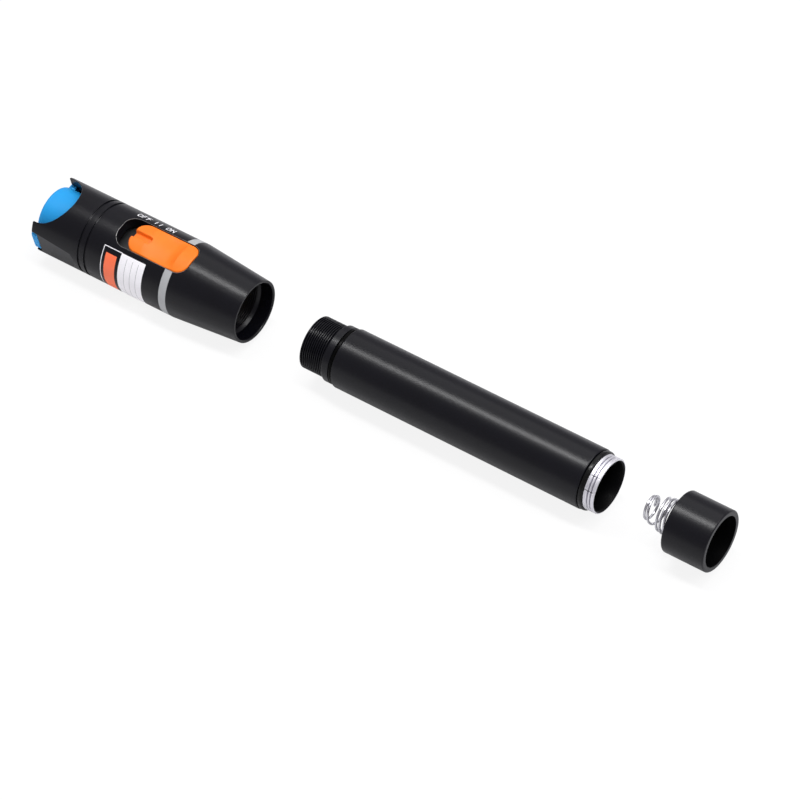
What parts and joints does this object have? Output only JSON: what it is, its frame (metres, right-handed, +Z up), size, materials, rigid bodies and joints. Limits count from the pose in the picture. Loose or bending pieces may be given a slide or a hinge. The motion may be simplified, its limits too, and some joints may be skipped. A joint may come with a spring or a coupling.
{
  "type": "visual fault locator",
  "caption": "Pen-shaped fibre fault locator, unscrewed: crowned head with dust cap and slide switch, threaded battery tube, and tail cap with its spring.",
  "frame": {"origin": "on the surface that the head lies on, under the middle of the row of groups", "axes": "+X along the pen's axis from the head towards the tail cap, +Z up, the slide switch on top of the head"},
  "size_m": [0.2536, 0.0258, 0.0258],
  "materials": {
    "black_anodised": "satin black anodised",
    "bare_aluminium": "bright turned",
    "blue_rubber": "smooth moulded, slightly glossy",
    "black_rubber": "matte",
    "orange_plastic": "moulded, satin",
    "black_plastic": "moulded, matte",
    "board_green": "solder mask",
    "resistor_black": "glazed",
    "white_ceramic": "ground and polished",
    "lens_glass": "polished",
    "nickel_plate": "nickel plated",
    "brass": "turned",
    "gold_plate": "gold plated",
    "steel": "zinc plated",
    "spring_steel": "bright nickel plated wire"
  },
  "bodies": {
    "tube": {"battery_tube": "black_anodised", "front_seal": "black_rubber", "rear_seal": "black_rubber"},
    "head": {"head_shell": "black_anodised", "ferrule_adapter": "nickel_plate", "adapter_lock_ring": "nickel_plate", "ferrule_sleeve": "white_ceramic", "laser_housing": "brass", "focus_lens": "lens_glass", "lens_ring": "brass", "laser_diode": "gold_plate", "diode_clamp_ring": "brass", "inner_carrier": "black_plastic", "circuit_board": "board_green", "board_screws": "steel", "driver_chip": "black_plastic", "resistors": "resistor_black", "capacitor": "bare_aluminium", "slide_switch_case": "steel", "contact_insulator": "black_plastic", "middle_contact": "gold_plate", "contact_ring": "brass"},
    "slider": {"switch_button": "orange_plastic", "slide_shield": "black_plastic", "slide_switch_post": "black_plastic"},
    "cover": {"dust_cap": "blue_rubber"},
    "cap": {"tail_cap": "black_anodised", "contact_disc": "nickel_plate", "disc_screw": "steel", "tail_spring": "spring_steel"}
  },
  "joints": [
    {"name": "head_screw_on", "type": "slide", "parent": "tube", "child": "head", "axis": [1, 0, 0], "range_m": [0, 0.03655]},
    {"name": "cap_screw_on", "type": "slide", "parent": "tube", "child": "cap", "axis": [-1, 0, 0], "range_m": [0, 0.03005]},
    {"name": "switch_slide", "type": "slide", "parent": "head", "child": "slider", "axis": [-1, 0, 0], "range_m": [0, 0.0044]},
    {"name": "dust_cap_pull", "type": "slide", "parent": "head", "child": "cover", "axis": [-1, 0, 0], "range_m": [0, 0.03]}
  ]
}
